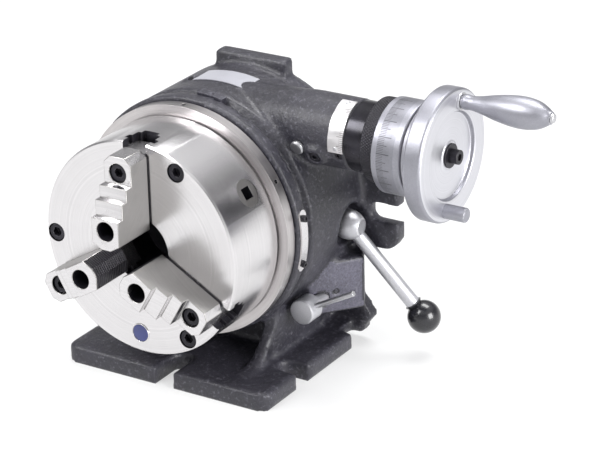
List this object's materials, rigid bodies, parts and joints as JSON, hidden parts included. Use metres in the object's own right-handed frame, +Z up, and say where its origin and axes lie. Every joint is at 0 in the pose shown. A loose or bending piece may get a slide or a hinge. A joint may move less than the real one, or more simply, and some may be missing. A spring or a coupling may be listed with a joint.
{
  "type": "dividing head",
  "caption": "Dividing head with a self-centring scroll chuck, worm drive with a drop-out sleeve, handwheel and dial, spindle clamps, and a body that stands flat or on end.",
  "frame": {"origin": "on the base face, under the point where the spindle axis passes the middle plane of the worm wheel", "axes": "+Z up from the base face, +X towards the handwheel, -Y towards the chuck face along the spindle axis"},
  "size_m": [0.4749, 0.2656, 0.2906],
  "materials": {
    "casting": "rough textured enamel",
    "ground_steel": "fine ground",
    "black_steel": "oil blackened",
    "satin_steel": "satin",
    "light_metal": "satin",
    "black_plastic": "gloss",
    "bronze": "machined",
    "cover_iron": "machined"
  },
  "bodies": {
    "housing": {"housing": "casting", "front_bush": "bronze", "rear_bush": "bronze", "rear_cover": "cover_iron", "cover_screws": "black_steel", "stop_block": "satin_steel", "stop_screw": "black_steel", "zero_plate": "ground_steel", "zero_screws": "black_steel", "scale_plate": "ground_steel", "scale_rivets": "black_steel", "oil_plug": "black_steel", "sleeve_lock_screw": "black_steel", "set_screws": "black_steel", "brake_shoe": "bronze"},
    "spindle": {"spindle": "ground_steel", "index_ring": "ground_steel", "spindle_key": "black_steel", "worm_wheel": "bronze", "wheel_nut": "black_steel", "rear_nut": "black_steel", "chuck_body": "ground_steel", "chuck_back_plate": "ground_steel", "back_plate_screws": "black_steel", "chuck_screws": "black_steel", "pinion_pins": "black_steel"},
    "sleeve": {"sleeve": "black_steel", "knurled_ring": "black_steel", "worm_bushes": "bronze"},
    "worm": {"worm_shaft": "ground_steel", "handwheel": "light_metal", "handwheel_key": "black_steel", "handle_axle": "satin_steel", "stub_pin": "light_metal", "wheel_washer": "black_steel", "wheel_screw": "black_steel"},
    "dial": {"dial": "light_metal"},
    "grip": {"handle_grip": "light_metal"},
    "lever": {"clamp_lever": "satin_steel", "clamp_bolt": "satin_steel", "ball_knob": "black_plastic"},
    "side_clamp": {"clamp_screw": "satin_steel", "tommy_bar": "ground_steel"},
    "scroll": {"scroll": "ground_steel"},
    "pinion_1": {"pinion_1": "ground_steel"},
    "jaw_1": {"master_jaw_1": "ground_steel", "top_jaw_1": "ground_steel", "jaw_screws_1": "black_steel"},
    "pinion_2": {"pinion_2": "ground_steel"},
    "jaw_2": {"master_jaw_2": "ground_steel", "top_jaw_2": "ground_steel", "jaw_screws_2": "black_steel"},
    "pinion_3": {"pinion_3": "ground_steel"},
    "jaw_3": {"master_jaw_3": "ground_steel", "top_jaw_3": "ground_steel", "jaw_screws_3": "black_steel"}
  },
  "joints": [
    {"name": "spindle_spin", "type": "hinge", "parent": "housing", "child": "spindle", "pos_m": [0, 0, 0.1465], "axis": [0, -1, 0], "continuous": true},
    {"name": "sleeve_drop", "type": "hinge", "parent": "housing", "child": "sleeve", "pos_m": [0.1, 0.005, 0.2305], "axis": [-1, 0, 0], "range_deg": [0, 65]},
    {"name": "worm_spin", "type": "hinge", "parent": "sleeve", "child": "worm", "pos_m": [0.1, 0, 0.2305], "axis": [1, 0, 0], "continuous": true},
    {"name": "dial_set", "type": "hinge", "parent": "worm", "child": "dial", "pos_m": [0.2, 0, 0.2305], "axis": [1, 0, 0], "continuous": true},
    {"name": "grip_spin", "type": "hinge", "parent": "worm", "child": "grip", "pos_m": [0.28, 0.01323, 0.27664], "axis": [1, 0, 0], "continuous": true},
    {"name": "lever_swing", "type": "hinge", "parent": "housing", "child": "lever", "pos_m": [0.1, 0.038, 0.126], "axis": [-1, 0, 0], "range_deg": [0, 60]},
    {"name": "screw_turn", "type": "hinge", "parent": "housing", "child": "side_clamp", "pos_m": [0.0935, -0.01, 0.0595], "axis": [0, -1, 0], "range_deg": [-45, 35]},
    {"name": "scroll_turn", "type": "hinge", "parent": "spindle", "child": "scroll", "pos_m": [0, -0.11, 0.1465], "axis": [0, -1, 0], "range_deg": [-900, 360]},
    {"name": "pinion_turn_1", "type": "hinge", "parent": "spindle", "child": "pinion_1", "pos_m": [0.06784, -0.092, 0.18889], "axis": [0.848, 0, 0.5299], "range_deg": [-2880.5, 7200.5]},
    {"name": "pinion_turn_2", "type": "hinge", "parent": "spindle", "child": "pinion_2", "pos_m": [-0.07064, -0.092, 0.18406], "axis": [-0.8829, 0, 0.4695], "range_deg": [-2880.5, 7200.5]},
    {"name": "pinion_turn_3", "type": "hinge", "parent": "spindle", "child": "pinion_3", "pos_m": [0.00279, -0.092, 0.06655], "axis": [0.0349, 0, -0.9994], "range_deg": [-2880.5, 7200.5]},
    {"name": "jaw_slide_1", "type": "slide", "parent": "spindle", "child": "jaw_1", "axis": [0, 0, 1], "range_m": [-0.0101, 0.0251]},
    {"name": "jaw_slide_2", "type": "slide", "parent": "spindle", "child": "jaw_2", "axis": [-0.866, 0, -0.5], "range_m": [-0.0101, 0.0251]},
    {"name": "jaw_slide_3", "type": "slide", "parent": "spindle", "child": "jaw_3", "axis": [0.866, 0, -0.5], "range_m": [-0.0101, 0.0251]}
  ],
  "couplings": [
    {"joint": "worm_spin", "follows": "spindle_spin", "ratio": 90},
    {"joint": "pinion_turn_1", "follows": "scroll_turn", "ratio": -8},
    {"joint": "jaw_slide_1", "follows": "scroll_turn", "m_per_rad": -0.0015915},
    {"joint": "pinion_turn_2", "follows": "scroll_turn", "ratio": -8},
    {"joint": "jaw_slide_2", "follows": "scroll_turn", "m_per_rad": -0.0015915},
    {"joint": "pinion_turn_3", "follows": "scroll_turn", "ratio": -8},
    {"joint": "jaw_slide_3", "follows": "scroll_turn", "m_per_rad": -0.0015915}
  ]
}
